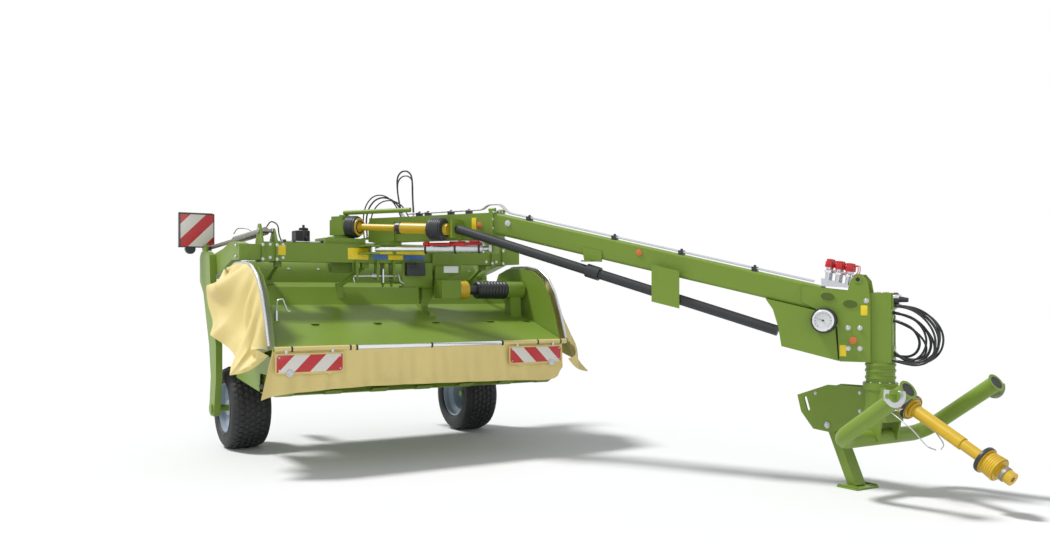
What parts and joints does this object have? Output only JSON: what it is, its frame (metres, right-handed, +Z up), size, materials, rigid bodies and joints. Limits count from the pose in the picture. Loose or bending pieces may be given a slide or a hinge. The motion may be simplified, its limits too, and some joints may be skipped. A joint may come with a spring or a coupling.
{
  "type": "trailed disc mower with conditioner and swinging centre drawbar",
  "caption": "Trailed disc mower: hood with cloth guards between two wheel legs, portal frame, long swinging drawbar with turning hitch yoke, drive shafts and parking stand.",
  "frame": {"origin": "on the ground below the middle of the whole outline, parked", "axes": "+Z up, -Y is the direction of travel, +X is the machine's left side"},
  "size_m": [4.7051, 6.5381, 2.698],
  "materials": {
    "green_paint": "gloss coat",
    "deep_green_paint": "gloss coat",
    "rim_paint": "satin coat",
    "tyre_rubber": "matt",
    "cream_cloth": "coated cloth",
    "yellow_guard": "satin",
    "black_guard": "satin",
    "black_hose": "satin",
    "zinc_steel": "satin",
    "board_sheet": "reflective stripes",
    "coupler_red": "satin",
    "valve_black": "satin"
  },
  "bodies": {
    "chassis": {"angle_gearbox": "green_paint", "centre_gearbox": "green_paint", "cross_shaft_guard": "black_guard", "cutterbar": "deep_green_paint", "hood": "green_paint", "lift_cylinder_left": "valve_black", "lift_cylinder_right": "valve_black", "main_gearbox": "valve_black", "portal_frame": "green_paint", "side_panel_left": "green_paint", "side_panel_right": "green_paint", "suspension": "deep_green_paint", "valve_block": "valve_black", "warning_boards": "board_sheet", "wheel_leg_left": "green_paint", "wheel_leg_right": "green_paint"},
    "wheel_left": {"tyre_left": "tyre_rubber", "rim_left": "rim_paint"},
    "wheel_right": {"tyre_right": "tyre_rubber", "rim_right": "rim_paint"},
    "drawbar": {"drawbar_rear": "green_paint", "drawbar_beam": "green_paint", "drawbar_head": "green_paint", "drive_guard": "green_paint", "hitch_neck": "green_paint", "driveline": "black_guard", "driveline_hangers": "green_paint", "pressure_gauge": "black_guard", "hose_couplers": "coupler_red", "hose_loop_head_lower": "black_hose", "hose_loop_head_middle": "black_hose", "hose_loop_head_upper": "black_hose", "hose_loop_pivot_low": "black_hose", "hose_loop_pivot_tall": "black_hose"},
    "swing_barrel": {"swing_cylinder_barrel": "zinc_steel"},
    "swing_rod": {"swing_cylinder_rod": "zinc_steel"},
    "gearbox_swivel": {"swivel_gearbox": "green_paint", "drive_shaft_rear": "yellow_guard", "steering_rod": "green_paint"},
    "shaft_slider": {"drive_shaft_front": "yellow_guard"},
    "hitch": {"hitch_housing": "green_paint", "hitch_yoke": "green_paint"},
    "stand": {"parking_stand": "green_paint"},
    "pto": {"pto_shaft": "yellow_guard"},
    "conditioner": {"conditioner_rotor": "deep_green_paint"},
    "flap": {"front_flap": "green_paint", "front_curtain": "cream_cloth"},
    "guard_left": {"side_guard_left": "zinc_steel", "side_curtain_left": "cream_cloth"},
    "guard_right": {"side_guard_right": "zinc_steel", "side_curtain_right": "cream_cloth"},
    "door_left": {"swath_door_left": "green_paint"},
    "door_right": {"swath_door_right": "green_paint"},
    "disc_1": {"cutter_disc_1": "zinc_steel"},
    "disc_2": {"cutter_disc_2": "zinc_steel"},
    "disc_3": {"cutter_disc_3": "zinc_steel"},
    "disc_4": {"cutter_disc_4": "zinc_steel"},
    "disc_5": {"cutter_disc_5": "zinc_steel"},
    "disc_6": {"cutter_disc_6": "zinc_steel"},
    "disc_7": {"cutter_disc_7": "zinc_steel"}
  },
  "joints": [
    {"name": "wheel_left_spin", "type": "hinge", "parent": "chassis", "child": "wheel_left", "pos_m": [0.688, 2.46, 0.395], "axis": [1, 0, 0], "continuous": true},
    {"name": "wheel_right_spin", "type": "hinge", "parent": "chassis", "child": "wheel_right", "pos_m": [-1.792, 2.46, 0.395], "axis": [1, 0, 0], "continuous": true},
    {"name": "drawbar_swing", "type": "hinge", "parent": "chassis", "child": "drawbar", "pos_m": [-0.552, 1.8, 2], "axis": [0, 0, 1], "range_deg": [-61.5, 2.5]},
    {"name": "swing_cylinder_turn", "type": "hinge", "parent": "drawbar", "child": "swing_barrel", "pos_m": [0.03398, 0.76428, 1.913], "axis": [0, 0, 1], "range_deg": [-12.14, 0.5]},
    {"name": "swing_cylinder_stroke", "type": "slide", "parent": "swing_barrel", "child": "swing_rod", "axis": [-0.7287, 0.6849, 0], "range_m": [-0.30399, 0.01236]},
    {"name": "gearbox_swivel_turn", "type": "hinge", "parent": "chassis", "child": "gearbox_swivel", "pos_m": [-0.972, 1.96, 2.1], "axis": [0, 0, 1], "range_deg": [-50.33, 2.05]},
    {"name": "drive_shaft_telescope", "type": "slide", "parent": "gearbox_swivel", "child": "shaft_slider", "axis": [0.5407, -0.8396, -0.0518], "range_m": [-0.41246, 0.01677]},
    {"name": "hitch_turn", "type": "hinge", "parent": "drawbar", "child": "hitch", "pos_m": [1.71315, -2.20364, 0.7], "axis": [0, 0, 1], "range_deg": [-55, 110]},
    {"name": "stand_fold", "type": "hinge", "parent": "hitch", "child": "stand", "pos_m": [1.71315, -1.77364, 0.46], "axis": [1, 0, 0], "range_deg": [0, 118]},
    {"name": "pto_shaft_lift", "type": "hinge", "parent": "hitch", "child": "pto", "pos_m": [1.71315, -2.33164, 0.735], "axis": [-1, 0, 0], "range_deg": [0, 32]},
    {"name": "disc_1_spin", "type": "hinge", "parent": "chassis", "child": "disc_1", "pos_m": [-1.842, 1.14, 0.71], "axis": [0, 0, 1], "continuous": true},
    {"name": "disc_2_spin", "type": "hinge", "parent": "chassis", "child": "disc_2", "pos_m": [-1.412, 1.14, 0.71], "axis": [0, 0, 1], "continuous": true},
    {"name": "disc_3_spin", "type": "hinge", "parent": "chassis", "child": "disc_3", "pos_m": [-0.982, 1.14, 0.71], "axis": [0, 0, 1], "continuous": true},
    {"name": "disc_4_spin", "type": "hinge", "parent": "chassis", "child": "disc_4", "pos_m": [-0.552, 1.14, 0.71], "axis": [0, 0, 1], "continuous": true},
    {"name": "disc_5_spin", "type": "hinge", "parent": "chassis", "child": "disc_5", "pos_m": [-0.122, 1.14, 0.71], "axis": [0, 0, 1], "continuous": true},
    {"name": "disc_6_spin", "type": "hinge", "parent": "chassis", "child": "disc_6", "pos_m": [0.308, 1.14, 0.71], "axis": [0, 0, 1], "continuous": true},
    {"name": "disc_7_spin", "type": "hinge", "parent": "chassis", "child": "disc_7", "pos_m": [0.738, 1.14, 0.71], "axis": [0, 0, 1], "continuous": true},
    {"name": "conditioner_spin", "type": "hinge", "parent": "chassis", "child": "conditioner", "pos_m": [-0.552, 1.76, 0.96], "axis": [1, 0, 0], "continuous": true},
    {"name": "front_flap_lift", "type": "hinge", "parent": "chassis", "child": "flap", "pos_m": [-0.552, 1.37, 1.21691], "axis": [-1, 0, 0], "range_deg": [0, 75]},
    {"name": "side_guard_left_lift", "type": "hinge", "parent": "chassis", "child": "guard_left", "pos_m": [0.902, 1.7, 1.757], "axis": [0, -1, 0], "range_deg": [0, 60]},
    {"name": "swath_door_left_turn", "type": "hinge", "parent": "chassis", "child": "door_left", "pos_m": [0.248, 2.77, 0.95], "axis": [0, 0, 1], "range_deg": [-5, 32]},
    {"name": "side_guard_right_lift", "type": "hinge", "parent": "chassis", "child": "guard_right", "pos_m": [-2.006, 1.7, 1.757], "axis": [0, 1, 0], "range_deg": [0, 60]},
    {"name": "swath_door_right_turn", "type": "hinge", "parent": "chassis", "child": "door_right", "pos_m": [-1.352, 2.77, 0.95], "axis": [0, 0, -1], "range_deg": [-5, 32]}
  ],
  "couplings": [
    {"joint": "swing_cylinder_turn", "follows": "drawbar_swing", "ratio": 0.19352},
    {"joint": "swing_cylinder_stroke", "follows": "drawbar_swing", "m_per_rad": 0.27766},
    {"joint": "gearbox_swivel_turn", "follows": "drawbar_swing", "ratio": 0.80232},
    {"joint": "drive_shaft_telescope", "follows": "drawbar_swing", "m_per_rad": 0.37673},
    {"joint": "disc_2_spin", "follows": "disc_1_spin", "ratio": -1},
    {"joint": "disc_3_spin", "follows": "disc_1_spin", "ratio": 1},
    {"joint": "disc_4_spin", "follows": "disc_1_spin", "ratio": -1},
    {"joint": "disc_5_spin", "follows": "disc_1_spin", "ratio": 1},
    {"joint": "disc_6_spin", "follows": "disc_1_spin", "ratio": -1},
    {"joint": "disc_7_spin", "follows": "disc_1_spin", "ratio": 1}
  ]
}
